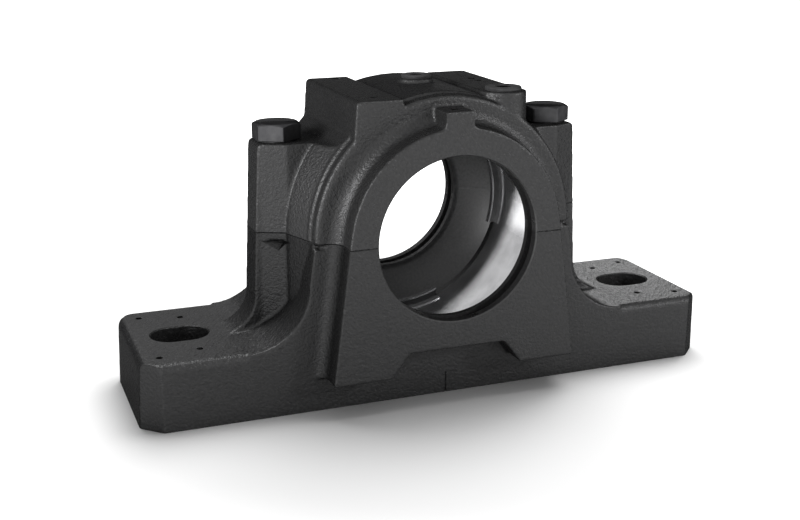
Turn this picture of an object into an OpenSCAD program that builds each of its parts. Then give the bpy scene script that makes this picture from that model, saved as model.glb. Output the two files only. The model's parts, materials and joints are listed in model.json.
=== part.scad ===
// Split plummer block housing: a cast base and a cast cap, drawn together by two bolts.
// X runs along the foot, Y along the shaft, Z up. The origin is the middle of the underside.

/* [Foot] */
// Length of the foot at its underside
foot_length = 255; // [245:1:290]
// Width of the foot, which is also the width of the barrel
foot_width = 70; // [66:1:78]
// Height of the foot
foot_height = 28; // [24:1:32]
// How far each end of the foot leans in towards its top
foot_end_draft = 1.3; // [0.5:0.1:2.5]
// Chamfer of the four upright corners of the foot
foot_corner = 8.4; // [5:0.2:12]
// Radius of the top edges of the foot
foot_edge_radius = 3; // [1.5:0.5:5]
// Distance from the middle of each slot to its end of the foot
slot_inset = 22.5; // [20:0.5:25]
// Length of each slot, along the foot
slot_length = 24; // [20:1:28]
// Width of each slot
slot_width = 18; // [14:1:20]
// Diameter of the cast drilling marks on the foot
mark_diameter = 2.4; // [1.5:0.1:3.5]
// Depth of the cast drilling marks
mark_depth = 0.8; // [0.4:0.1:1.5]

/* [Underside] */
// Wall left round the cored hollows
hollow_wall = 7.5; // [6.5:0.5:10]
// Depth of the two end hollows
end_hollow_depth = 18; // [10:0.5:19]
// Length of the end hollows along the foot
end_hollow_length = 34; // [20:1:36]
// Depth of the middle hollow
middle_hollow_depth = 9.5; // [5:0.5:10]
// Web between the middle hollow and the end hollows
hollow_web = 7; // [5:0.5:10]

/* [Bearing seat] */
// Height of the shaft above the underside
centre_height = 70; // [68:1:76]
// Bore of the bearing seat
seat_diameter = 100; // [94:1:104]
// Width of the bearing seat between its shoulders
seat_width = 44; // [38:1:46]
// Thickness of each shoulder along the shaft
shoulder_width = 3; // [2:0.2:4]
// How far each shoulder stands in from the seat
shoulder_height = 2.7; // [1.5:0.1:3.5]
// How far the grease chamber is cut back behind the seat
chamber_relief = 1.5; // [0.5:0.1:2]
// Height at which the shoulders stop on either flank, below the shaft
shoulder_gap_top = 14; // [10:1:20]
// Half width of the shoulder that is left at the bottom
shoulder_gap_bottom = 19; // [14:1:24]

/* [End walls] */
// Depth of the housing over its two round faces
housing_depth = 96; // [92:1:104]
// Diameter of the shaft opening in each end wall
shaft_hole = 68; // [60:1:70]
// Thickness of each end wall at the shaft opening
end_wall = 10.5; // [9:0.5:12]
// Thickness of the end wall where it meets the barrel
barrel_end_wall = 7; // [5:0.5:8]
// Width of the seal groove in each shaft opening
seal_groove_width = 4; // [3:0.2:5]
// Depth of the seal groove
seal_groove_depth = 4; // [2:0.2:5]
// Land between the outer face and the seal groove
seal_groove_inset = 4; // [2:0.2:4]
// Width of the round face about the shaft opening
boss_ring = 11.3; // [9:0.1:12]
// Lean of the flanks below the round face
boss_lean = 7.7; // [5:0.1:9]
// Height of the underside of the round boss above the floor
boss_bottom = 14.2; // [10:0.2:17]
// Fillet between the round boss and the barrel
boss_fillet = 5.5; // [3:0.5:6]
// Width of the notch under the boss, at its mouth
notch_mouth = 57; // [50:1:64]
// Width of the notch under the boss, at its top
notch_top = 42; // [34:1:46]
// Height of the notch
notch_height = 10.1; // [7:0.1:12]
// Radius in the corners of the notch
notch_radius = 3; // [1:0.5:4]

/* [Barrel] */
// Thickness of the barrel over the bearing seat
barrel_wall = 6; // [5:0.2:8]
// How far the crown stands above the two rims
crown_rise = 1; // [0.6:0.1:2]
// Width of each rim
rim_width = 6; // [4:0.5:8]
// Radius along the outer edge of each rim
rim_radius = 1.6; // [0.8:0.1:2.5]
// How far the barrel spreads below the split before it meets its fillet
flank_spread = 2.5; // [1:0.1:4]
// Fillet between the barrel and the foot
flank_fillet = 25.5; // [20:0.5:28]

/* [Cap top] */
// Height of the two pads above the shaft
pad_rise = 55.5; // [54:0.5:64]
// Distance between the inner edges of the pads
pad_gap = 38; // [34:1:42]
// Width of each pad
pad_width = 19; // [16:0.5:21]
// Lean of the outer face of each pad
pad_lean = 4.5; // [2:0.5:6]
// Radius along the edges of the pads
pad_edge_radius = 1.4; // [0.6:0.2:2.4]
// Diameter of the round boss in the middle of the crown
crown_boss_diameter = 14; // [13:0.5:18]
// Height of the top of that boss above the crown
crown_boss_height = 1.6; // [1.2:0.1:3]
// Fillet round the foot of that boss
crown_boss_fillet = 6; // [4:0.5:7]
// Width of the tab on top of each round boss
tab_width = 12; // [9:0.5:15]
// Height of the top of the tab above the round boss
tab_height = 6.3; // [5:0.1:7]
// Fillet at either side of the tab
tab_fillet = 2; // [1:0.2:3]

/* [Bolt pillars] */
// Height of the bolt pillars above the shaft
pillar_rise = 36.5; // [32:0.5:42]
// Reach of each pillar from the middle, at its top
pillar_reach = 71.3; // [70:0.5:75]
// Lean of the outer face of each pillar
pillar_lean = 2.8; // [1:0.2:4]
// Thickness of a pillar where it joins the barrel
pillar_root = 26; // [23:0.5:30]
// Thickness of a pillar at its outer face
pillar_tip = 16; // [13:0.5:20]
// Distance from the bolt's axis to where the pillar begins to narrow
pillar_taper_start = 0.7; // [-1:0.1:2]
// How far the barrel's flank has spread where a pillar joins it
pillar_root_flare = 5.5; // [4:0.5:8]
// Fillet between a pillar and the foot
pillar_foot_fillet = 15; // [10:0.5:16]
// Fillet between the top of a pillar and the pad beside it
pillar_saddle = 9; // [6:0.5:11]
// Radius on the outer top edge of a pillar
pillar_edge_radius = 2; // [1:0.2:4]
// Thickness of the ledge under the split, over the lever pocket
pocket_ledge = 3.4; // [2.5:0.1:5]
// Width of the lever pocket
pocket_width = 11; // [9:0.5:14]
// Height of the lever pocket
pocket_height = 6; // [4:0.2:8]
// Depth of the lever pocket
pocket_depth = 5; // [2:0.2:6]

/* [Cap bolts] */
// Distance between the two bolts
bolt_spacing = 122.4; // [121:0.2:126]
// Diameter of the bolt shank
bolt_diameter = 12; // [10:0.5:12]
// Diameter of the clearance hole in the cap
bolt_hole = 13; // [12.6:0.1:13.5]
// Length of the bolt below its head
bolt_length = 60; // [50:1:66]
// Width of the bolt head across its flats
head_across_flats = 18; // [16:0.5:19]
// Height of the bolt head
head_height = 7.5; // [6:0.5:9]
// Turn of the left bolt head
head_turn_left = 1; // [-30:1:30]
// Turn of the right bolt head
head_turn_right = 4; // [-30:1:30]

/* [Pins and plugs] */
// Diameter of the two locating pins in the split
pin_diameter = 4; // [3:0.5:4.5]
// Length of the locating pins
pin_length = 16; // [12:1:22]
// Wall between a locating pin and the bearing seat
pin_wall = 2.8; // [2:0.1:3.2]
// Distance of the pins from the bolts, along the shaft
pin_offset = 16.5; // [15.5:0.5:17.5]
// Thread diameter of the plug in the crown
crown_plug_thread = 8; // [6:0.5:9]
// Collar diameter of the plug in the crown
crown_plug_collar = 12.5; // [11:0.5:13]
// Thread diameter of the plug in the right pad
pad_plug_thread = 10; // [8:0.5:11]
// Collar diameter of the plug in the right pad
pad_plug_collar = 15; // [13:0.5:17]
// Thickness of the plug collars
plug_collar_height = 1.5; // [1:0.1:2.5]
// Length of the threaded part of each plug
plug_length = 7; // [5:0.5:9]
// Clearance round pins, plugs and the threaded end of the bolts
fit = 0.05; // [0.03:0.01:0.1]

/* [Hidden] */
$fn = 96;
turned_sides = 180;
drilled_sides = 48;
mark_sides = 24;
over = 1;
sink = 4;
far = 400;

slot_spacing = foot_length - 2 * slot_inset;
pad_height = centre_height + pad_rise;
pillar_height = centre_height + pillar_rise;
seat_r = seat_diameter / 2;
rim_r = seat_r + barrel_wall;
crown_r = rim_r + crown_rise;
chamber_r = seat_r + chamber_relief;
hole_r = shaft_hole / 2;
boss_r = hole_r + boss_ring;
flank_step = 0.1;
flank_r = boss_r + flank_step;
half_width = foot_width / 2;
half_depth = housing_depth / 2;
bolt_x = bolt_spacing / 2;
pillar_bevel_x = bolt_x - pillar_taper_start;
pad_inner = pad_gap / 2;
pad_outer = pad_inner + pad_width;
column_r = pad_width / 2;
column_x = pad_inner + column_r;
column_y = -(half_width - column_r);
flank_x = rim_r + flank_spread;
flare_step = 1.2;
flare_dip = 0.3;
pillar_foot_x = pillar_reach + (pillar_height - foot_height - pillar_foot_fillet) * tan(pillar_lean);
chamber_end = half_depth - end_wall;
end_land = 3;
tab_overlap = 0.5;
line_width = 1.2;
line_depth = 0.8;
line_share = 0.65;
shoulder_end = seat_width / 2 + shoulder_width;
crown_top = centre_height + crown_r;
crown_boss_top = crown_top + crown_boss_height;
pin_x = seat_r + pin_wall + pin_diameter / 2;
outer_mark_step = 12.8;
outer_mark_inset = 10;
inner_mark_step = 4.2;
inner_mark_inset = 14.5;
foot_marks = [[slot_spacing / 2 + outer_mark_step, half_width - outer_mark_inset],
              [slot_spacing / 2 - inner_mark_step, half_width - inner_mark_inset]];
front_mark_step = 9;
rear_mark_step = 7;
rear_mark_inset = 5;
pair_mark_step = 10.5;
pair_mark_near = 2;
pair_mark_far = 9;
pad_marks = [[-pad_inner - front_mark_step, front_mark_step - half_width],
             [-pad_inner - rear_mark_step, half_width - rear_mark_inset],
             [pad_inner + pair_mark_step, pair_mark_near], [pad_inner + pair_mark_step, pair_mark_far]];
pad_bevel_width = 1.5;
pad_bevel_height = 6;
pocket_outer = bolt_x + 11;
pocket_run = 5;
rim_recess_length = 20;
rim_recess_width = 3;
rim_recess_height = 2.2;
head_top_share = 0.95;
pin_chamfer = 0.5;
socket_share = 0.4;
thread_end = 3;
plug_end = 2;
grease_drill = 5;
grease_drill_start = centre_height + 0.6 * rim_r;

iron = "#3a3b3c";
steel = "#56585a";

// Extrudes a front view, drawn in X and Z, along the shaft.
module along_shaft(depth) {
    rotate([90, 0, 0]) linear_extrude(depth, center = true) children();
}

// Turns a profile, drawn as radius and distance along the shaft, about the shaft.
module about_shaft() {
    translate([0, 0, centre_height]) rotate([90, 0, 0]) rotate_extrude($fn = turned_sides) children();
}

// Mirrored copies of one half, about the middle plane across the foot.
module both_ends() {
    children();
    mirror([1, 0, 0]) children();
}

// Mirrored copies of one half, about the middle plane along the foot.
module both_faces() {
    children();
    mirror([0, 1, 0]) children();
}

// Flat rectangle from a low to a high corner.
module box_2d(low, high) {
    translate(low) square(high - low);
}

// Square corner piece less its quarter circle: the section of a fillet in the first quadrant.
module fillet_2d(radius) {
    difference() {
        translate([-over, -over]) square(radius + over);
        translate([radius, radius]) circle(radius);
    }
}

// Corner that a rounded edge takes away, with the edge's corner at the origin.
module rounding_2d(radius) {
    difference() {
        translate([-radius, -radius]) square(radius + over);
        translate([-radius, -radius]) circle(radius);
    }
}

// Everything below the split.
module below_split() {
    translate([-far / 2, -far / 2, centre_height - far]) cube(far);
}

// Everything above the split.
module above_split() {
    translate([-far / 2, -far / 2, centre_height]) cube(far);
}

// Slotted foot plate with leaning ends, chamfered corners and round top edges.
module foot() {
    half = foot_length / 2;
    intersection() {
        linear_extrude(foot_height) polygon([
            [-half, foot_corner - half_width], [foot_corner - half, -half_width],
            [half - foot_corner, -half_width], [half, foot_corner - half_width],
            [half, half_width - foot_corner], [half - foot_corner, half_width],
            [foot_corner - half, half_width], [-half, half_width - foot_corner]]);
        along_shaft(foot_width + over) difference() {
            polygon([[-half, 0], [half, 0], [half - foot_end_draft, foot_height],
                     [foot_end_draft - half, foot_height]]);
            for (side = [0, 1]) mirror([side, 0])
                translate([half - foot_end_draft, foot_height]) rounding_2d(foot_edge_radius);
        }
        rotate([90, 0, 90]) linear_extrude(foot_length + over, center = true) difference() {
            box_2d([-half_width, 0], [half_width, foot_height]);
            for (side = [0, 1]) mirror([side, 0])
                translate([half_width, foot_height]) rounding_2d(foot_edge_radius);
        }
    }
}

// Small round mark cast where a hole may be drilled.
module drilling_mark() {
    cylinder(d = mark_diameter, h = mark_depth + over, $fn = mark_sides);
}

// Slots for the foot bolts and the small cast marks round them.
module foot_openings() {
    both_ends() {
        translate([slot_spacing / 2, 0, -over]) linear_extrude(foot_height + 2 * over) {
            reach = (slot_length - slot_width) / 2;
            square([2 * reach, slot_width], center = true);
            for (x = [-reach, reach]) translate([x, 0]) circle(d = slot_width);
        }
        both_faces() for (place = foot_marks)
            translate([place[0], place[1], foot_height - mark_depth]) drilling_mark();
    }
}

// Flanks of the base: they spread below the split and sweep out into the foot.
module flanks() {
    toe = flank_x + flank_fillet;
    knee = foot_height + flank_fillet;
    along_shaft(foot_width) difference() {
        polygon([[-toe, foot_height / 2], [toe, foot_height / 2], [toe, knee], [flank_x, knee],
                 [rim_r, centre_height + over], [-rim_r, centre_height + over],
                 [-flank_x, knee], [-toe, knee]]);
        for (side = [-1, 1]) translate([side * toe, knee]) circle(flank_fillet);
    }
}

// Barrel round the bearing, with a raised crown between two rims.
module barrel() {
    about_shaft() difference() {
        union() {
            box_2d([0, -half_width], [rim_r, half_width]);
            box_2d([0, rim_width - half_width], [crown_r, half_width - rim_width]);
        }
        for (side = [0, 1]) mirror([0, side]) translate([rim_r, half_width]) rounding_2d(rim_radius);
    }
}

// Front view of a boss about the shaft: a round top on two flanks that lean outward.
module boss_front() {
    drop = centre_height - boss_bottom;
    shoulder = [flank_r * cos(boss_lean), flank_r * sin(boss_lean)];
    spread = shoulder[0] + (drop + shoulder[1]) * tan(boss_lean);
    circle(boss_r);
    polygon([[0, 0], shoulder, [spread, -drop], [-spread, -drop], [-shoulder[0], shoulder[1]]]);
}

// Sections of the two fillets at a given distance from the shaft.
module boss_fillet_sections(radius) {
    for (side = [0, 1]) mirror([0, side]) translate([radius, half_width]) fillet_2d(boss_fillet);
}

// Round boss about each shaft opening, with leaning flanks and a fillet to the barrel.
module end_boss() {
    along_shaft(housing_depth) translate([0, centre_height]) boss_front();
    intersection() {
        about_shaft() boss_fillet_sections(boss_r);
        translate([-far / 2, -far / 2, centre_height]) cube(far);
    }
    intersection() {
        translate([-far / 2, -far / 2, boss_bottom]) cube(far);
        for (side = [0, 1]) mirror([side, 0, 0])
            translate([0, 0, centre_height]) rotate([0, -boss_lean, 0])
                translate([0, 0, -centre_height]) linear_extrude(centre_height)
                    boss_fillet_sections(flank_r);
    }
    tabs();
}

// Tab on top of each round boss, filleted at either side.
module tabs() {
    root = boss_r - tab_fillet;
    top = centre_height + boss_r + tab_height;
    difference() {
        along_shaft(housing_depth) {
            box_2d([-tab_width / 2, centre_height + root], [tab_width / 2, top]);
            for (side = [0, 1]) mirror([side, 0])
                translate([tab_width / 2, centre_height + boss_r - tab_overlap]) fillet_2d(tab_fillet);
        }
        both_faces() translate([0, (half_depth + half_width) / 2, top - mark_depth]) drilling_mark();
    }
}

// Corner that rounds the top of the notch, with the round's centre at the origin.
module notch_corner() {
    turn = atan2(notch_height, (notch_mouth - notch_top) / 2);
    reach = notch_radius + over;
    difference() {
        polygon([[0, 0], [0, reach], [reach * tan(turn / 2), reach],
                 [reach * sin(turn), reach * cos(turn)]]);
        circle(notch_radius);
    }
}

// Front view of the notch under a boss, from the boss's underside upward.
module notch_front() {
    turn = atan2(notch_height, (notch_mouth - notch_top) / 2);
    difference() {
        polygon([[-notch_mouth / 2, -over], [notch_mouth / 2, -over], [notch_mouth / 2, 0],
                 [notch_top / 2, notch_height], [-notch_top / 2, notch_height], [-notch_mouth / 2, 0]]);
        for (side = [0, 1]) mirror([side, 0])
            translate([notch_top / 2 - notch_radius * tan(turn / 2), notch_height - notch_radius])
                notch_corner();
    }
}

// Notch under each round boss and the thin centre line cut in the foot below it.
module boss_notches() {
    both_faces() translate([0, half_width, 0]) {
        translate([0, half_depth, boss_bottom]) rotate([90, 0, 0])
            linear_extrude(half_depth) notch_front();
        translate([-line_width / 2, -line_depth, -over])
            cube([line_width, line_depth + over, boss_bottom * line_share + over]);
    }
}

// Plan of a bolt pillar, narrowing towards its outer face.
module pillar_plan() {
    reach = foot_length / 2;
    for (side = [0, 1]) mirror([0, side]) polygon([
        [0, -over], [0, pillar_root / 2], [pillar_bevel_x, pillar_root / 2],
        [pillar_reach, pillar_tip / 2], [reach, pillar_tip / 2], [reach, -over]]);
}

// Section of the flare between a pillar and the barrel, as radius and distance along the shaft.
module pillar_root_section() {
    start = half_width - rim_width - over;
    stop = pillar_root / 2 + flare_step;
    flare_r = rim_r + pillar_root_flare;
    polygon([[rim_r - sink, -start], [crown_r - flare_dip, -start], [flare_r, -stop],
             [flare_r, stop], [crown_r - flare_dip, start], [rim_r - sink, start]]);
}

// Front view of a pillar: leaning outer face, fillet to the foot and saddle to the pad.
module pillar_front() {
    knee = foot_height + pillar_foot_fillet;
    toe = pillar_foot_x + pillar_foot_fillet;
    saddle_x = pad_outer + pillar_saddle;
    difference() {
        union() {
            polygon([[0, foot_height / 2], [toe, foot_height / 2], [toe, knee], [pillar_foot_x, knee],
                     [pillar_reach, pillar_height], [0, pillar_height]]);
            box_2d([pad_outer - sink, pillar_height - over], [saddle_x, pillar_height + pillar_saddle]);
        }
        translate([toe, knee]) circle(pillar_foot_fillet);
        translate([saddle_x, pillar_height + pillar_saddle]) circle(pillar_saddle);
        translate([pillar_reach, pillar_height]) rounding_2d(pillar_edge_radius);
    }
}

// Pair of bolt pillars, for the cap and the base together.
module pillars() {
    both_ends() intersection() {
        along_shaft(foot_width) pillar_front();
        union() {
            linear_extrude(far) pillar_plan();
            intersection() {
                above_split();
                about_shaft() pillar_root_section();
            }
            intersection() {
                below_split();
                linear_extrude(centre_height) pillar_root_section();
            }
        }
    }
}

// Front view of a pad, from its leaning outer face to its sloped inner edge.
module pad_front() {
    root = centre_height + sqrt(rim_r * rim_r - pad_outer * pad_outer) - sink;
    spread = (pad_height - root) * tan(pad_lean);
    difference() {
        polygon([[pad_inner - pad_bevel_width, pad_height - pad_bevel_height], [pad_inner, pad_height],
                 [pad_outer, pad_height], [pad_outer + spread, root], [pad_inner, root]]);
        translate([pad_outer, pad_height]) rounding_2d(pad_edge_radius);
    }
}

// Left pad, square at both ends.
module left_pad() {
    mirror([1, 0, 0]) along_shaft(foot_width) pad_front();
}

// Right pad, which ends at the front in a round column for the plug.
module right_pad() {
    translate([0, (half_width + column_y) / 2, 0]) along_shaft(half_width - column_y) pad_front();
    translate([column_x, column_y, centre_height]) cylinder(r = column_r, h = pad_height - centre_height);
}

// Boss in the middle of the crown, with a broad fillet.
module crown_boss() {
    reach = crown_boss_diameter / 2;
    root = crown_top - sink;
    rotate_extrude() {
        box_2d([0, root], [reach, crown_boss_top]);
        intersection() {
            box_2d([0, root], [reach + crown_boss_fillet, crown_boss_top]);
            translate([reach, crown_boss_top - crown_boss_fillet]) fillet_2d(crown_boss_fillet);
        }
    }
}

// Hollow for the bearing: seat, shoulders, grease chambers, seal grooves and shaft openings.
module bearing_hollow() {
    about_shaft() {
        box_2d([0, -half_depth - over], [hole_r, half_depth + over]);
        box_2d([0, -seat_width / 2], [seat_r, seat_width / 2]);
        box_2d([0, -shoulder_end - over], [seat_r - shoulder_height, shoulder_end + over]);
        for (side = [0, 1]) mirror([0, side]) {
            polygon([[hole_r - over, shoulder_end], [chamber_r, shoulder_end],
                     [chamber_r, half_width - barrel_end_wall],
                     [hole_r + end_land, chamber_end], [hole_r - over, chamber_end]]);
            groove = half_depth - seal_groove_inset;
            box_2d([hole_r - over, groove - seal_groove_width], [hole_r + seal_groove_depth, groove]);
        }
    }
}

// Passages through the shoulders, low on either flank of the base.
module grease_passages() {
    inner_r = seat_r - shoulder_height - over;
    intersection() {
        about_shaft() for (side = [0, 1]) mirror([0, side])
            box_2d([inner_r, seat_width / 2], [chamber_r, shoulder_end + over]);
        both_ends() along_shaft(housing_depth) polygon([
            [shoulder_gap_bottom, 0], [rim_r + over, 0], [rim_r + over, centre_height - shoulder_gap_top],
            [hole_r, centre_height - shoulder_gap_top], [shoulder_gap_bottom, centre_height - hole_r]]);
    }
}

// Lever pockets below the split and the small recesses at the ends of the rims.
module split_recesses() {
    top = centre_height - pocket_ledge;
    both_ends() both_faces() {
        intersection() {
            along_shaft(far) polygon([[pocket_outer - pocket_width, top], [pocket_outer, top],
                                      [pocket_outer - pocket_run, top - pocket_height]]);
            translate([0, pillar_root / 2 - pocket_depth, top]) rotate([90, 0, 90]) linear_extrude(far)
                polygon([[0, 0], [far, 0], [far, -pocket_height], [pocket_depth, -pocket_height]]);
        }
        translate([chamber_r, half_width - rim_recess_width, centre_height - rim_recess_height])
            cube([rim_recess_length, far, rim_recess_height + over]);
    }
}

// Cored hollows in the underside: one beside each slot and one under the bearing.
module underside_hollows() {
    outer = (slot_spacing - slot_length) / 2 - hollow_wall;
    inner = outer - end_hollow_length;
    both_ends() translate([0, 0, -over]) {
        linear_extrude(end_hollow_depth + over)
            box_2d([inner, hollow_wall - half_width], [outer, half_width - hollow_wall]);
        linear_extrude(middle_hollow_depth + over)
            box_2d([-over, hollow_wall - half_width], [inner - hollow_web, half_width - hollow_wall]);
    }
}

// Cast base: foot, flanks, lower half of the barrel and of the bolt pillars.
module housing_base() {
    color(iron) difference() {
        intersection() {
            union() {
                foot();
                flanks();
                end_boss();
                pillars();
            }
            below_split();
        }
        bearing_hollow();
        grease_passages();
        foot_openings();
        boss_notches();
        split_recesses();
        underside_hollows();
        for (side = [-1, 1]) {
            translate([side * bolt_x, 0, pillar_height - bolt_length - thread_end])
                cylinder(d = bolt_diameter + 2 * fit, h = far);
            translate([side * pin_x, side * pin_offset, centre_height - pin_length / 2 - fit])
                cylinder(d = pin_diameter + 2 * fit, h = far, $fn = drilled_sides);
        }
    }
}

// Cast cap: upper half of the barrel and pillars, with pads, crown boss and plug holes.
module housing_cap() {
    color(iron) difference() {
        intersection() {
            union() {
                barrel();
                end_boss();
                pillars();
                left_pad();
                right_pad();
                crown_boss();
            }
            above_split();
        }
        bearing_hollow();
        for (side = [-1, 1]) {
            translate([side * bolt_x, 0, 0]) cylinder(d = bolt_hole, h = far);
            translate([side * pin_x, side * pin_offset, 0])
                cylinder(d = pin_diameter + 2 * fit, h = centre_height + pin_length / 2 + fit,
                         $fn = drilled_sides);
        }
        translate([0, 0, centre_height])
            cylinder(d = crown_plug_thread + 2 * fit, h = far, $fn = drilled_sides);
        translate([column_x, column_y, pad_height - plug_length - plug_end])
            cylinder(d = pad_plug_thread + 2 * fit, h = far, $fn = drilled_sides);
        translate([column_x, column_y, pad_height])
            cylinder(d = pad_plug_collar + 2 * fit, h = far, $fn = drilled_sides);
        translate([column_x, column_y, grease_drill_start])
            cylinder(d = grease_drill, h = far, $fn = drilled_sides);
        for (place = pad_marks)
            translate([place[0], place[1], pad_height - mark_depth]) drilling_mark();
    }
}

// Cap bolt with a hexagon head, chamfered on top.
module cap_bolt(side, turn) {
    across_corners = head_across_flats / cos(30);
    rim = across_corners / 2 + over;
    top = head_across_flats * head_top_share / 2;
    color(steel) translate([side * bolt_x, 0, pillar_height]) {
        intersection() {
            rotate([0, 0, turn + 30]) cylinder(d = across_corners, h = head_height, $fn = 6);
            rotate_extrude() polygon([
                [0, 0], [rim, 0], [rim, head_height - (rim - top) * tan(30)], [top, head_height],
                [0, head_height]]);
        }
        translate([0, 0, -bolt_length]) cylinder(d = bolt_diameter, h = bolt_length + over);
    }
}

// Bolt on the left of the housing.
module cap_bolt_left() {
    cap_bolt(-1, head_turn_left);
}

// Bolt on the right of the housing.
module cap_bolt_right() {
    cap_bolt(1, head_turn_right);
}

// Locating pin across the split, with chamfered ends.
module locating_pin(side) {
    edge = pin_diameter / 2;
    end = pin_length / 2;
    color(steel) translate([side * pin_x, side * pin_offset, centre_height])
        rotate_extrude($fn = drilled_sides) polygon([
            [0, -end], [edge - pin_chamfer, -end], [edge, pin_chamfer - end],
            [edge, end - pin_chamfer], [edge - pin_chamfer, end], [0, end]]);
}

// Pin beside the left bolt.
module locating_pin_left() {
    locating_pin(-1);
}

// Pin beside the right bolt.
module locating_pin_right() {
    locating_pin(1);
}

// Screw plug with a collar and a hexagon socket.
module screw_plug(thread, collar) {
    socket = collar * socket_share / cos(30);
    color(steel) difference() {
        union() {
            translate([0, 0, -plug_length])
                cylinder(d = thread, h = plug_length + over, $fn = drilled_sides);
            cylinder(d = collar, h = plug_collar_height);
        }
        translate([0, 0, plug_collar_height - plug_length / 2])
            cylinder(d = socket, h = plug_length, $fn = 6);
    }
}

// Plug in the middle of the crown.
module crown_plug() {
    translate([0, 0, crown_boss_top]) screw_plug(crown_plug_thread, crown_plug_collar);
}

// Plug in the round column of the right pad.
module pad_plug() {
    translate([column_x, column_y, pad_height]) screw_plug(pad_plug_thread, pad_plug_collar);
}

housing_base();
housing_cap();
cap_bolt_left();
cap_bolt_right();
locating_pin_left();
locating_pin_right();
crown_plug();
pad_plug();
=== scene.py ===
"""Looks of a split plummer block housing: two painted castings, cap bolts, screw plugs and pins.

The castings are made the way the real ones are. The solids are joined to one pattern, the places
to be machined get stock, the cast skin is softened, and then the halves are parted and every bore,
slot and hole is cut with a crisp edge.
"""

from __future__ import annotations

import json
import logging
import math
from abc import ABC, abstractmethod
from collections.abc import Sequence
from dataclasses import dataclass, field
from enum import Enum
from typing import Any

import bmesh
import bpy
import numpy as np
from mathutils import Matrix, Vector


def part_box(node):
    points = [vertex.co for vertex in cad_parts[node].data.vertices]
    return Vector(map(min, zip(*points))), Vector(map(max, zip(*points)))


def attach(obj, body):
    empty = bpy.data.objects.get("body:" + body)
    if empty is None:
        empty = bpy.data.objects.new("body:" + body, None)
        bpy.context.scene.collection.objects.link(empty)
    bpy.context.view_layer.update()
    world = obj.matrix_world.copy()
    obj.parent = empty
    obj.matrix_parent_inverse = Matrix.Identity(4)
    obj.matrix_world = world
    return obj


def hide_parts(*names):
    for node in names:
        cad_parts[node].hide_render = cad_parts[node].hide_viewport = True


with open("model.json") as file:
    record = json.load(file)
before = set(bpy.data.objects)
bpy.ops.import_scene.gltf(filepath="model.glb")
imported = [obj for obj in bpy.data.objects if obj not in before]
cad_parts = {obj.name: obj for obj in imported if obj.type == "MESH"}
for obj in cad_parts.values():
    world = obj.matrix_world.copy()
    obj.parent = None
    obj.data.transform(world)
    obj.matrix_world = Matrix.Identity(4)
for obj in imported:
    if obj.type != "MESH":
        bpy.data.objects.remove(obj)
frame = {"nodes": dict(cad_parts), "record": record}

MM = 0.001
TOUCH = 0.001  # millimetres within which two heights count as one
NEAR = 0.1  # millimetres within which a face's middle counts as on a surface
INSIDE = 0.01  # millimetres that a face's middle stays clear of a surface's rim
PAST = 1.0  # millimetres that tools and stock reach past what they meet
ON_PLANE = 1e-7  # metres within which a vertex counts as on a cutting plane
BODY = "root"
WHITE = (1.0, 1.0, 1.0, 1.0)
Mesh = bpy.types.Mesh
Socket = bpy.types.NodeSocket
Point = tuple[float, float]
Place = tuple[float, float, float]
Colour = tuple[float, float, float]

log = logging.getLogger("plummer_block")


class Axis(Enum):
    """Direction that a turned or drawn solid follows."""

    SHAFT = "shaft"
    UPRIGHT = "upright"


class Cut(Enum):
    """What a tool does to a body."""

    REMOVE = "DIFFERENCE"
    KEEP = "INTERSECT"


class Half(Enum):
    """Half of the housing, on one side of the split."""

    BASE = "housing_base"
    CAP = "housing_cap"


@dataclass(frozen=True)
class Box:
    """Lowest and highest corner of a node, in millimetres."""

    low: Vector
    high: Vector

    @classmethod
    def of(cls, node: str) -> Box:
        """Reads the box of one node of the frame."""
        low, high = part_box(node)
        return cls(low / MM, high / MM)

    @property
    def plan(self) -> Point:
        """Middle of the box in plan."""
        middle = (self.low + self.high) / 2
        return middle.x, middle.y


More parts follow.
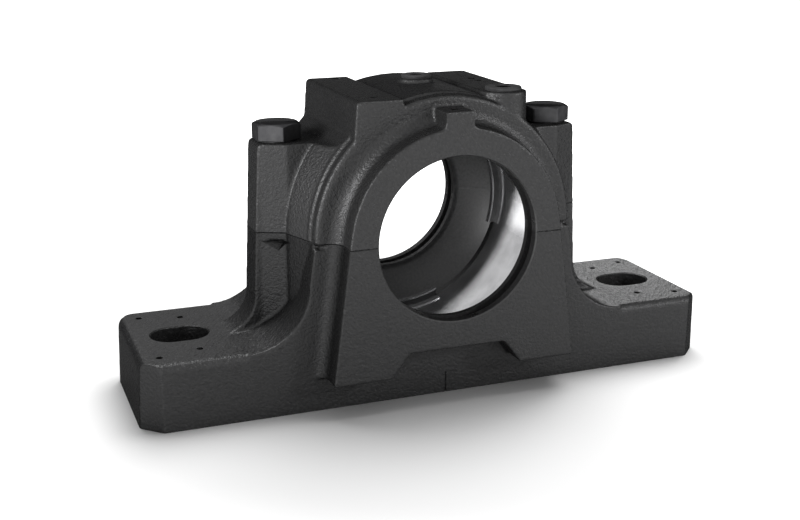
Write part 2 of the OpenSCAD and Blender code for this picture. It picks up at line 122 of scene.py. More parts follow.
class Shapes:
    """Closed meshes from a few numbers in millimetres."""

    SEGMENTS = 240

    @staticmethod
    def circle(radius: float, segments: int) -> np.ndarray:
        """Outline of a circle.

        Args:
            radius: Radius in millimetres.
            segments: Number of points.

        Returns:
            Points as rows of two numbers.
        """
        turn = np.linspace(0, 2 * math.pi, segments, endpoint=False)
        return radius * np.stack([np.cos(turn), np.sin(turn)], axis=1)

    @staticmethod
    def stadium(length: float, width: float, segments: int = 96) -> np.ndarray:
        """Outline of a slot with round ends, longest along the first direction.

        Args:
            length: Length from end to end.
            width: Width between the straight sides.
            segments: Number of points.

        Returns:
            Points as rows of two numbers.
        """
        points = Shapes.circle(width / 2, segments)
        turn = np.linspace(0, 2 * math.pi, segments, endpoint=False)
        side = np.where(np.cos(turn) >= 0, 1.0, -1.0)
        points[:, 0] += side * (length - width) / 2
        return points

    @staticmethod
    def hexagon(across_flats: float, corner_cut: float, turn: float, segments: int) -> np.ndarray:
        """Outline of a hexagon whose corners are turned off a little.

        Args:
            across_flats: Width from flat to flat.
            corner_cut: How far the corners are turned off.
            turn: Angle of the first corner, in degrees.
            segments: Number of points, spread evenly by angle.

        Returns:
            Points as rows of two numbers.
        """
        flat = across_flats / 2
        angle = np.linspace(0, 2 * math.pi, segments, endpoint=False)
        from_flat = (angle % (math.pi / 3)) - math.pi / 6
        reach = np.minimum(flat / np.cos(from_flat), flat / math.cos(math.pi / 6) - corner_cut)
        angle = angle + math.radians(turn)
        return reach[:, None] * np.stack([np.cos(angle), np.sin(angle)], axis=1)

    @staticmethod
    def placed(
        outline: np.ndarray, along: np.ndarray | float, axis: Axis, centre: Point
    ) -> np.ndarray:
        """Puts an outline in space, square to an axis.

        Args:
            outline: Points as rows of two numbers.
            along: Place along the axis, of all points or of each.
            axis: Axis that the outline is square to.
            centre: Place of the outline's middle, as X and Z or as X and Y.

        Returns:
            Points as rows of three numbers.
        """
        first = outline[:, 0] + centre[0]
        second = outline[:, 1] + centre[1]
        level = np.full(len(outline), along)
        if axis is Axis.SHAFT:
            return np.stack([first, level, second], axis=1)
        return np.stack([first, second, level], axis=1)

    @classmethod
    def ring(
        cls,
        outline: np.ndarray,
        radius: np.ndarray | float,
        height: np.ndarray | float,
        centre: Point,
    ) -> np.ndarray:
        """Ring about an upright axis, with its points at the angles of an outline.

        Args:
            outline: Points as rows of two numbers.
            radius: Radius of all points, or of each.
            height: Height of all points, or of each.
            centre: Place of the axis in plan.

        Returns:
            Points as rows of three numbers.
        """
        scale = radius / np.hypot(outline[:, 0], outline[:, 1])
        return cls.placed(outline * scale[:, None], height, Axis.UPRIGHT, centre)

    @staticmethod
    def loft(name: str, rings: Sequence[np.ndarray]) -> Mesh:
        """Skins rings of equal length and closes both ends on their middles.

        Args:
            name: Name of the mesh.
            rings: Rings of points in millimetres, from one end to the other.

        Returns:
            Closed mesh in metres, with its faces outward.
        """
        count = len(rings[0])
        points = np.concatenate([*rings, [rings[0].mean(0)], [rings[-1].mean(0)]]) * MM
        start, end = len(points) - 2, len(points) - 1
        last = count * (len(rings) - 1)
        faces: list[tuple[int, ...]] = []
        for i in range(count):
            j = (i + 1) % count
            faces.append((start, j, i))
            faces.append((end, last + i, last + j))
            for ring in range(len(rings) - 1):
                row = ring * count
                faces.append((row + i, row + j, row + count + j, row + count + i))
        mesh = bpy.data.meshes.new(name)
        mesh.from_pydata(points.tolist(), [], faces)
        edit = bmesh.new()
        edit.from_mesh(mesh)
        bmesh.ops.recalc_face_normals(edit, faces=edit.faces[:])
        edit.to_mesh(mesh)
        edit.free()
        return mesh

    @classmethod
    def turned(
        cls,
        name: str,
        profile: Sequence[Point],
        axis: Axis,
        centre: Point,
        segments: int = SEGMENTS,
    ) -> Mesh:
        """Turns a profile about an axis.

        Args:
            name: Name of the mesh.
            profile: Places along the axis with their radii, from one end to the other.
            axis: Axis to turn about.
            centre: Place of the axis, as X and Z or as X and Y.
            segments: Number of steps round the axis.

        Returns:
            Closed mesh in metres.
        """
        rings = [cls.placed(cls.circle(r, segments), along, axis, centre) for along, r in profile]
        return cls.loft(name, rings)

    @classmethod
    def drawn(
        cls, name: str, outline: np.ndarray, span: Point, axis: Axis, centre: Point = (0.0, 0.0)
    ) -> Mesh:
        """Draws a convex outline along an axis.

        Args:
            name: Name of the mesh.
            outline: Points as rows of two numbers.
            span: First and last place along the axis.
            axis: Axis to draw along.
            centre: Place of the outline's origin.

        Returns:
            Closed mesh in metres.
        """
        return cls.loft(name, [cls.placed(outline, along, axis, centre) for along in span])


class Shop:
    """What is done to meshes: joining, cutting, softening and thinning."""

    @staticmethod
    def opened(meshes: Sequence[Mesh]) -> bmesh.types.BMesh:
        """Copies meshes into one edit.

        Args:
            meshes: Meshes, which stay as they are.

        Returns:
            Edit that holds them all.
        """
        edit = bmesh.new()
        for mesh in meshes:
            edit.from_mesh(mesh)
        return edit

    @staticmethod
    def saved(edit: bmesh.types.BMesh, name: str) -> Mesh:
        """Ends an edit.

        Args:
            edit: Edit, which is freed.
            name: Name of the mesh.

        Returns:
            New mesh.
        """
        mesh = bpy.data.meshes.new(name)
        edit.to_mesh(mesh)
        edit.free()
        return mesh

    @classmethod
    def joined(cls, meshes: Sequence[Mesh]) -> Mesh:
        """Joins meshes to one without changing them."""
        return cls.saved(cls.opened(meshes), meshes[0].name)

    @classmethod
    def mirrored(cls, mesh: Mesh, axis: int) -> Mesh:
        """Mirror image of a mesh across a plane through the origin, with its faces outward.

        Args:
            mesh: Mesh, which stays as it is.
            axis: Number of the axis that is turned round.

        Returns:
            New mesh.
        """
        scale = Vector((1, 1, 1))
        scale[axis] = -1
        edit = cls.opened([mesh])
        bmesh.ops.scale(edit, vec=scale, verts=edit.verts[:])
        bmesh.ops.reverse_faces(edit, faces=edit.faces[:])
        return cls.saved(edit, mesh.name)

    @classmethod
    def with_mirror(cls, mesh: Mesh, axis: int) -> Mesh:
        """A mesh together with its mirror image."""
        return cls.joined([mesh, cls.mirrored(mesh, axis)])

    @staticmethod
    def evaluated(
        mesh: Mesh,
        kind: str,
        settings: dict[str, Any],
        inputs: dict[str, Any] | None = None,
    ) -> Mesh:
        """Runs one modifier on a mesh.

        Args:
            mesh: Mesh to work on, which stays as it is.
            kind: Blender's name of the modifier type.
            settings: Values of the modifier's properties.
            inputs: Values of a Geometry Nodes modifier's inputs, by socket identifier.

        Returns:
            New plain mesh.
        """
        carrier = bpy.data.objects.new(mesh.name, mesh)
        bpy.context.scene.collection.objects.link(carrier)
        modifier = carrier.modifiers.new(kind.lower(), kind)
        for key, value in settings.items():
            setattr(modifier, key, value)
        for key, value in (inputs or {}).items():
            modifier[key] = value
        graph = bpy.context.evaluated_depsgraph_get()
        result = bpy.data.meshes.new_from_object(carrier.evaluated_get(graph))
        result.name = mesh.name
        bpy.data.objects.remove(carrier)
        return result

    @classmethod
    def cut(cls, body: Mesh, tool: Mesh, how: Cut = Cut.REMOVE) -> Mesh:
        """Cuts a closed body with a closed tool.

        Args:
            body: Body that is cut.
            tool: Tool that cuts it.
            how: What happens to the stretch that both fill.

        Returns:
            New mesh.
        """
        holder = bpy.data.objects.new("tool", tool)
        bpy.context.scene.collection.objects.link(holder)
        settings = {"operation": how.value, "solver": "MANIFOLD", "object": holder}
        result = cls.evaluated(body, "BOOLEAN", settings)
        bpy.data.objects.remove(holder)
        return result

    @staticmethod
    def soften(mesh: Mesh, steps: int, share: float) -> None:
        """Moves every vertex towards its neighbours' middle, step by step.

        Args:
            mesh: Mesh that is changed.
            steps: Number of steps.
            share: How much of the way a vertex goes in one step.
        """
        count = len(mesh.vertices)
        points = np.empty(count * 3)
        mesh.vertices.foreach_get("co", points)
        points = points.reshape(-1, 3)
        ends = np.empty(len(mesh.edges) * 2, dtype=np.int64)
        mesh.edges.foreach_get("vertices", ends)
        first, second = ends.reshape(-1, 2).T
        degree = np.bincount(ends, minlength=count)[:, None]
        for _ in range(steps):
            total = np.stack(
                [
                    np.bincount(first, points[second, k], count)
                    + np.bincount(second, points[first, k], count)
                    for k in range(3)
                ],
                axis=1,
            )
            points += share * (total / degree - points)
        mesh.vertices.foreach_set("co", points.ravel())
        mesh.update()

    @classmethod
    def thinned(cls, mesh: Mesh, triangles: int) -> Mesh:
        """Thins a mesh to about a number of triangles, where it has more.

        Args:
            mesh: Mesh, which stays as it is.
            triangles: Number of triangles.

        Returns:
            New mesh, or the same one where it has no more than that.
        """
        now = sum(len(face.vertices) - 2 for face in mesh.polygons)
        if now <= triangles:
            return mesh
        return cls.evaluated(mesh, "DECIMATE", {"ratio": triangles / now})


class Graph:
    """Adds nodes to one node tree in few words."""

    ROUGHNESS = 0.55
    BLEND_ENDS: Point = (0.35, 0.65)
    SPAN_ENDS: Point = (0.3, 0.7)

    def __init__(self, tree: bpy.types.NodeTree) -> None:
        """Holds the tree that the nodes go into."""
        self.tree = tree

    def fill(self, node: bpy.types.Node, inputs: dict[str | int, Any]) -> None:
        """Sets or links inputs of a node.

        Args:
            node: Node of this tree.
            inputs: Values by input; a socket is linked, anything else is set.
        """
        for key, value in inputs.items():
            if isinstance(value, Socket):
                self.tree.links.new(value, node.inputs[key])
            else:
                node.inputs[key].default_value = value

    def add(
        self, kind: str, inputs: dict[str | int, Any] | None = None, **settings: Any
    ) -> bpy.types.Node:
        """Adds a node.

        Args:
            kind: Blender's name of the node type.
            inputs: Values by input, set or linked.
            **settings: Properties of the node.

        Returns:
            The new node.
        """
        node = self.tree.nodes.new(kind)
        for key, value in settings.items():
            setattr(node, key, value)
        self.fill(node, inputs or {})
        return node

    def noise(self, place: Socket, scale: float, detail: float = 3.0) -> Socket:
        """Noise at a number of waves per metre, from 0 to 1."""
        inputs = {"Vector": place, "Scale": scale, "Detail": detail, "Roughness": self.ROUGHNESS}
        return self.add("ShaderNodeTexNoise", inputs).outputs["Fac"]

    def blend(self, factor: Socket, dark: Colour, light: Colour) -> Socket:
        """Colour between two, by a factor.

        Args:
            factor: Value from 0 to 1.
            dark: Colour where the factor is low.
            light: Colour where it is high.

        Returns:
            The colour.
        """
        ramp = self.add("ShaderNodeValToRGB", {"Fac": factor})
        ends = zip(ramp.color_ramp.elements, self.BLEND_ENDS, (dark, light), strict=True)
        for element, position, colour in ends:
            element.position = position
            element.color = (*colour, 1)
        return ramp.outputs["Color"]

    def span(
        self, factor: Socket, low: float, high: float, ends: Point = SPAN_ENDS, **settings: Any
    ) -> Socket:
        """Number between two, by a factor.

        Args:
            factor: Value that drives the number.
            low: Number where the factor is at its first end or below.
            high: Number where the factor is at its second end or above.
            ends: The two ends of the factor.
            **settings: Properties of the node.

        Returns:
            The number.
        """
        inputs = {"Value": factor, "From Min": ends[0], "From Max": ends[1]}
        inputs |= {"To Min": low, "To Max": high}
        return self.add("ShaderNodeMapRange", inputs, **settings).outputs["Result"]

    def combined(self, operation: str, *values: Socket | float) -> Socket:
        """Result of an arithmetic operation on values in their order."""
        return self.add("ShaderNodeMath", dict(enumerate(values)), operation=operation).outputs[0]


class NodeTool(Graph):
    """Geometry Nodes tree with named inputs, whose result becomes a plain mesh."""

    def __init__(self, name: str, sockets: dict[str, str]) -> None:
        """Starts the tree with a geometry and a material besides its own inputs.

        Args:
            name: Name of the tree.
            sockets: Type of each further input, by its name.
        """
        super().__init__(bpy.data.node_groups.new(name, "GeometryNodeTree"))
        face = self.tree.interface
        face.new_socket("Geometry", in_out="OUTPUT", socket_type="NodeSocketGeometry")
        for socket, kind in {"Geometry": "Geometry", **sockets, "Material": "Material"}.items():
            face.new_socket(socket, in_out="INPUT", socket_type=f"NodeSocket{kind}")
        self.given = self.add("NodeGroupInput").outputs

    def ended(self, geometry: Socket) -> NodeTool:
        """Ends the tree: its instances become real and get their material.

        Args:
            geometry: What the tree has made.

        Returns:
            The finished tree.
        """
        solid = self.add("GeometryNodeRealizeInstances", {"Geometry": geometry}).outputs[0]
        inputs = {"Geometry": solid, "Material": self.given["Material"]}
        dressed = self.add("GeometryNodeSetMaterial", inputs).outputs[0]
        self.add("NodeGroupOutput", {"Geometry": dressed})
        return self

    def run(self, mesh: Mesh, values: dict[str, Any]) -> Mesh:
        """Runs the finished tree on a mesh.

        Args:
            mesh: Mesh that goes in, which stays as it is.
            values: Value of each input, by its name.

        Returns:
            New plain mesh.
        """
        inputs = {
            item.identifier: values[item.name]
            for item in self.tree.interface.items_tree
            if item.in_out == "INPUT" and item.name in values
        }
        return Shop.evaluated(mesh, "NODES", {"node_group": self.tree}, inputs)


class Finish(ABC):
    """Look of a surface, as one procedural material."""

    name: str
    dark: Colour
    light: Colour
    roughness: Point
    metallic: float

    def material(self) -> bpy.types.Material:
        """Material of this finish, built the first time it is asked for.

        Returns:
            The one material of this finish.
        """
        known = bpy.data.materials.get(self.name)
        if known:
            return known
        material = bpy.data.materials.new(self.name)
        material.use_nodes = True
        graph = Graph(material.node_tree)
        shader = material.node_tree.nodes["Principled BSDF"]
        self.dress(graph, shader, graph.add("ShaderNodeTexCoord").outputs["Object"])
        return material

    @abstractmethod
    def dress(self, graph: Graph, shader: bpy.types.Node, place: Socket) -> None:
        """Connects the finish to the shader.

        Args:
            graph: Graph of the material.
            shader: Its Principled shader.
            place: Object coordinates.
        """

    def coat(
        self,
        graph: Graph,
        shader: bpy.types.Node,
        factor: Socket,
        relief: Socket,
        height: float,
    ) -> None:
        """Connects colour, roughness and relief.

        Args:
            graph: Graph of the material.
            shader: Its Principled shader.
            factor: Value from 0 to 1 that mottles colour and roughness.
            relief: Value from 0 to 1 that the bumps follow.
            height: Height of the bumps, in metres.
        """
        bump = graph.add("ShaderNodeBump", {"Height": relief, "Distance": height})
        inputs = {
            "Base Color": graph.blend(factor, self.dark, self.light),
            "Roughness": graph.span(factor, *self.roughness),
            "Metallic": self.metallic,
            "Normal": bump.outputs["Normal"],
        }
        graph.fill(shader, inputs)

    @staticmethod
    def dull(shader: bpy.types.Node, edge_tint: float) -> None:
        """Takes the clear layer off a shader and dims its reflection at grazing angles."""
        shader.inputs["Specular IOR Level"].default_value = 0.0
        shader.inputs["Specular Tint"].default_value = (*[edge_tint] * 3, 1)


@dataclass(frozen=True)
class PaintedSkin(Finish):
    """Charcoal paint over a fine, slightly pebbled cast skin."""

    name: str = "painted_cast_skin"
    dark: Colour = (0.04, 0.04, 0.0405)
    light: Colour = (0.047, 0.047, 0.0475)
    roughness: Point = (0.36, 0.46)
    metallic: float = 0.7
    edge_tint: float = 0.12
    detail: float = 2.0
    pebble_scale: float = 850.0
    pebble_height: float = 0.3 * MM
    grain_scale: float = 1700.0
    grain_share: float = 0.25

    def dress(self, graph: Graph, shader: bpy.types.Node, place: Socket) -> None:
        """Connects the paint, which is mottled by the pebbles under it.

        Args:
            graph: Graph of the material.
            shader: Its Principled shader.
            place: Object coordinates.
        """
        pebble = graph.noise(place, self.pebble_scale, self.detail)
        grain = graph.noise(place, self.grain_scale, self.detail)
        relief = graph.combined("MULTIPLY_ADD", grain, self.grain_share, pebble)
        self.coat(graph, shader, pebble, relief, self.pebble_height)
        self.dull(shader, self.edge_tint)


@dataclass(frozen=True)
class LevelSkin(PaintedSkin):
    """The same paint, rubbed glossier and streaky where the foot's top lies level."""

    name: str = "level_cast_skin"
    level_tint: float = 0.5
    level_ends: Point = (0.88, 0.99)
    streak_scale: float = 520.0
    streak_stretch: Place = (1.0, 4.5, 1.0)
    streak_turn: float = math.radians(-37)
    streak_height: float = 0.8 * MM

    def dress(self, graph: Graph, shader: bpy.types.Node, place: Socket) -> None:
        """Adds the gloss of level stretches and their streaks.

        Args:
            graph: Graph of the material.
            shader: Its Principled shader.
            place: Object coordinates.
        """
        super().dress(graph, shader, place)
        facing = graph.add("ShaderNodeNewGeometry").outputs["Normal"]
        upward = graph.add("ShaderNodeSeparateXYZ", {"Vector": facing}).outputs["Z"]
        level = graph.span(upward, 0.0, 1.0, self.level_ends)
        turn = (0, 0, self.streak_turn)
        stretch = {"Vector": place, "Scale": self.streak_stretch, "Rotation": turn}
        stretched = graph.add("ShaderNodeMapping", stretch, vector_type="TEXTURE").outputs[0]
        inputs = {
            "Height": graph.noise(stretched, self.streak_scale),
            "Distance": self.streak_height,
            "Strength": level,
            "Normal": shader.inputs["Normal"].links[0].from_socket,
        }
        bump = graph.add("ShaderNodeBump", inputs).outputs["Normal"]
        tint = graph.span(level, self.edge_tint, self.level_tint, (0.0, 1.0))
        graph.fill(shader, {"Specular Tint": tint, "Normal": bump})


@dataclass(frozen=True)
class TurnedIron(Finish):
    """Bright turned iron of the bearing seat, with fine rings round the shaft."""

    name: str = "turned_seat"
    dark: Colour = (0.42, 0.42, 0.43)
    light: Colour = (0.55, 0.55, 0.56)
    roughness: Point = (0.07, 0.12)
    metallic: float = 0.85
    cloud_scale: float = 90.0
    ring_scale: float = 420.0
    ring_wobble: float = 1.5
    ring_height: float = 0.006 * MM

    def dress(self, graph: Graph, shader: bpy.types.Node, place: Socket) -> None:
        """Connects the bright iron and its turning marks.

        Args:
            graph: Graph of the material.
            shader: Its Principled shader.
            place: Object coordinates.
        """
        inputs = {"Vector": place, "Scale": self.ring_scale, "Distortion": self.ring_wobble}
        rings = graph.add("ShaderNodeTexWave", inputs, bands_direction="Y").outputs["Fac"]
        cloud = graph.noise(place, self.cloud_scale)
        self.coat(graph, shader, cloud, rings, self.ring_height)


@dataclass(frozen=True)
class DarkSteel(Finish):
    """Dark steel of fasteners, smooth, with faint marks of handling."""

    name: str = "satin_bolt"
    dark: Colour = (0.048, 0.048, 0.05)
    light: Colour = (0.066, 0.066, 0.068)
    roughness: Point = (0.28, 0.36)
    metallic: float = 0.7
    edge_tint: float = 0.15
    cloud_scale: float = 220.0
    grain_scale: float = 900.0
    grain_height: float = 0.012 * MM

    def dress(self, graph: Graph, shader: bpy.types.Node, place: Socket) -> None:
        """Connects the steel and its fine grain.

        Args:
            graph: Graph of the material.
            shader: Its Principled shader.
            place: Object coordinates.
        """
        cloud = graph.noise(place, self.cloud_scale)
        grain = graph.noise(place, self.grain_scale)
        self.coat(graph, shader, cloud, grain, self.grain_height)
        self.dull(shader, self.edge_tint)


SKIN = PaintedSkin()
# Paint inside the hollow: smoother, and lighter than the outer skin as painted light for the light
# that barely reaches in.
BORED_AND_LIGHTENED = PaintedSkin(
    name="bored_face_painted_light",
    dark=(0.058, 0.058, 0.0585),
    light=(0.075, 0.075, 0.0755),
    roughness=(0.30, 0.40),
    pebble_scale=900.0,
    pebble_height=0.02 * MM,
)
LEVEL = LevelSkin()
# Painted shade: near-black paint in the drilling dimples and the plugs' hexagon sockets, where
# shade falls.
RECESS_SHADE = PaintedSkin(name="painted_recess_shade", dark=(0.004, 0.004, 0.004), light=(0.008, 0.008, 0.008))
SEAT = TurnedIron()
BOLT = DarkSteel()
PLUG = DarkSteel(
    name="dark_plug", dark=(0.05, 0.05, 0.051), light=(0.068, 0.068, 0.07), metallic=0.4
)
PIN = DarkSteel(name="ground_pin", dark=(0.36, 0.36, 0.37), light=(0.46, 0.46, 0.47), metallic=1.0)


class Pieces:
    """Turns finished meshes into pieces of the part."""

    @staticmethod
    def lit(name: str = "housing") -> bpy.types.Collection:
        """Collection of pieces that a lamp can be kept to."""
        return bpy.data.collections.get(name) or bpy.data.collections.new(name)

    @classmethod
    def placed(cls, mesh: Mesh, name: str, node: str, slot: str) -> None:
        """Makes a piece that stands for a node.

        Args:
            mesh: Finished mesh, in place.
            name: Name of the piece.
            node: Node that it stands for.
            slot: Material slot of the record; not used.
        """
        piece = bpy.data.objects.new(name, mesh)
        bpy.context.scene.collection.objects.link(piece)
        group = "foot" if node == Half.BASE.value else "head"
        for collection in (cls.lit(), cls.lit(group)):
            collection.objects.link(piece)
        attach(piece, BODY)
        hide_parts(node)
        log.info("%s: %d faces, for node %s", name, len(mesh.polygons), node)

    @staticmethod
    def dress(mesh: Mesh, *finishes: Finish) -> None:
        """Gives a mesh the materials of finishes in place of its own.

        Args:
            mesh: Mesh that is changed.
            *finishes: Finishes in the order of their slots.
        """
        mesh.materials.clear()
        for finish in finishes:
            mesh.materials.append(finish.material())

    @staticmethod
    def shade(mesh: Mesh, angle: float) -> None:
        """Shades a mesh smooth, with edges over an angle in degrees left sharp."""
        mesh.shade_smooth()
        mesh.set_sharp_from_angle(angle=math.radians(angle))


@dataclass
class DrillingMarks:
    """Small dimples cast where a hole may be drilled, as a tool that cuts them all at once; their
    faces get near-black painted shade.
    """

    diameter: float = 2.9
    depth: float = 1.2
    proud: float = 0.3
    taper: float = 0.7
    sides: int = 20
    side_margin: float = 0.2
    rim_margin: float = 0.08

    def tree(self) -> NodeTool:
        """Geometry Nodes tree that puts a tapered dimple at each point.

        Returns:
            The finished tree.
        """
        sockets = {"Mouth Radius": "Float", "Floor Radius": "Float", "Length": "Float"}
        tree = NodeTool("drilling_marks", {**sockets, "Sides": "Int"})
        given = tree.given
        inputs = {
            "Vertices": given["Sides"],
            "Radius Top": given["Mouth Radius"],
            "Radius Bottom": given["Floor Radius"],
            "Depth": given["Length"],
        }
        cone = tree.add("GeometryNodeMeshCone", inputs).outputs["Mesh"]
        spots = tree.add("GeometryNodeMeshToPoints", {"Mesh": given["Geometry"]}).outputs[0]
        copies = tree.add("GeometryNodeInstanceOnPoints", {"Points": spots, "Instance": cone})
        return tree.ended(copies.outputs[0])

    def tool(self, places: Sequence[Place]) -> Mesh:
        """Tool that cuts a dimple at each place.

        Args:
            places: Places on the upper faces of a casting, in millimetres.

        Returns:
            Closed mesh.
        """
        points = bpy.data.meshes.new("drilling_marks")
        points.from_pydata([Vector((x, y, z - self.depth)) * MM for x, y, z in places], [], [])
        values = {
            "Mouth Radius": self.diameter / 2 * MM,
            "Floor Radius": self.diameter / 2 * self.taper * MM,
            "Length": (self.depth + self.proud) * MM,
            "Sides": self.sides,
            # The dimples carry the near-black painted shade.
            "Material": RECESS_SHADE.material(),
        }
        return self.tree().run(points, values)

    def in_painted_shade(self, centres: np.ndarray, places: Sequence[Place]) -> np.ndarray:
        """Tells which faces lie in a dimple, where near-black shade is painted.

        Args:
            centres: Middles of the faces in millimetres, as rows of three numbers.
            places: Places of the dimples.

        Returns:
            One truth value for each face.
        """
        inside = np.zeros(len(centres), dtype=bool)
        for place in places:
            away = centres - np.array(place)
            near = np.hypot(away[:, 0], away[:, 1]) < self.diameter / 2 + self.side_margin
            inside |= near & (away[:, 2] < -self.rim_margin) & (away[:, 2] > -self.depth - NEAR)
        return inside


@dataclass
class BearingHollow:
    """Everything that is bored about the shaft: openings, seal grooves, seat and chambers."""

    shaft_height: float
    half_depth: float
    opening: float = 34.0
    edge_break: float = 0.5
    groove_depth: float = 4.0
    groove_span: Point = (40.0, 44.0)
    wall_start: float = 37.5
    wall_land: float = 3.0
    chamber: float = 51.5
    chamber_span: Point = (25.0, 28.0)
    seat: float = 50.0
    seat_end: float = 22.0
    shoulder: float = 47.3
    land_break: float = 0.5
    passage_low: float = 19.0
    passage_top: float = 14.0
    stock: Sequence[Point] = ((34.0, 44.0), (34.0, 54.0))

    def turned(self, name: str, half: Sequence[Point]) -> Mesh:
        """Turns both halves of a profile, given from the middle outward, about the shaft.

        Args:
            name: Name of the mesh.
            half: Places along the shaft with their radii.

        Returns:
            Closed mesh, the same to both sides.
        """
        profile = [(-along, radius) for along, radius in reversed(half)] + list(half)
        return Shapes.turned(name, profile, Axis.SHAFT, (0.0, self.shaft_height))

    def filler(self) -> Mesh:
        """Stock that fills the hollow before the skin is softened."""
        step, wide = self.stock
        return self.turned("bore_stock", [wide, step, (self.half_depth, step[1])])

    def tool(self) -> Mesh:
        """Tool of the bearing hollow.

        Returns:
            Closed mesh.
        """
        wall, groove = self.opening + self.wall_land, self.opening + self.groove_depth
        half = [
            (self.seat_end, self.seat),
            (self.seat_end, self.shoulder + self.land_break),
            (self.seat_end + self.land_break, self.shoulder),
            (self.chamber_span[0], self.shoulder),
            (self.chamber_span[0], self.chamber),
            (self.chamber_span[1], self.chamber),
            (self.wall_start, wall),
            (self.wall_start, self.opening),
            (self.groove_span[0], self.opening),
            (self.groove_span[0], groove),
            (self.groove_span[1], groove),
            (self.groove_span[1], self.opening),
            (self.half_depth - self.edge_break, self.opening),
            (self.half_depth + PAST, self.opening + self.edge_break + PAST),
        ]
        return self.turned("bore", half)

    def passages(self) -> Mesh:
        """Tool of the grease passages through the shoulders, low on either flank.

        Returns:
            Closed meshes in one.
        """
        reach = self.chamber_span[0] + PAST
        ends = [(self.seat_end, self.chamber), (reach, self.chamber)]
        disc = Shapes.turned("disc", ends, Axis.SHAFT, (0.0, self.shaft_height))
        top = self.shaft_height - self.passage_top
        outline = np.array(
            [
                (self.passage_low, 0.0),
                (self.chamber + PAST, 0.0),
                (self.chamber + PAST, top),
                (self.opening, top),
                (self.passage_low, self.shaft_height - self.opening),
            ]
        )
        wedge = Shapes.drawn("passage", outline, (-reach - PAST, reach + PAST), Axis.SHAFT)
        return Shop.cut(Shop.with_mirror(disc, 1), Shop.with_mirror(wedge, 0), Cut.KEEP)

    def polar(self, centres: np.ndarray) -> tuple[np.ndarray, np.ndarray]:
        """Distances of points from the shaft's axis and from the middle of the housing."""
        radius = np.hypot(centres[:, 0], centres[:, 2] - self.shaft_height)
        return radius, np.abs(centres[:, 1])

    def is_seat(self, centres: np.ndarray) -> np.ndarray:
        """Tells which faces lie on the bright turned surfaces.

        Args:
            centres: Middles of the faces in millimetres, as rows of three numbers.

        Returns:
            One truth value for each face.
        """
        radius, depth = self.polar(centres)
        seat = (np.abs(radius - self.seat) < NEAR) & (depth < self.seat_end - INSIDE)
        land = (radius > self.shoulder - NEAR) & (radius < self.shoulder + self.land_break)
        return seat | (land & (depth > self.seat_end) & (depth < self.chamber_span[0] - INSIDE))

    def is_bored(self, centres: np.ndarray) -> np.ndarray:
        """Tells which faces lie inside the hollow, where a lighter paint stands in for light.

        Args:
            centres: Middles of the faces in millimetres, as rows of three numbers.

        Returns:
            One truth value for each face.
        """
        radius, depth = self.polar(centres)
        groove = self.opening + self.groove_depth
        opening = (radius < groove + NEAR) & (depth < self.half_depth - NEAR)
        ends = (self.chamber, self.opening + self.wall_land)
        cone = np.interp(depth, (self.chamber_span[1], self.wall_start), ends)
        return opening | ((radius < cone + 2 * NEAR) & (depth < self.wall_start + NEAR))


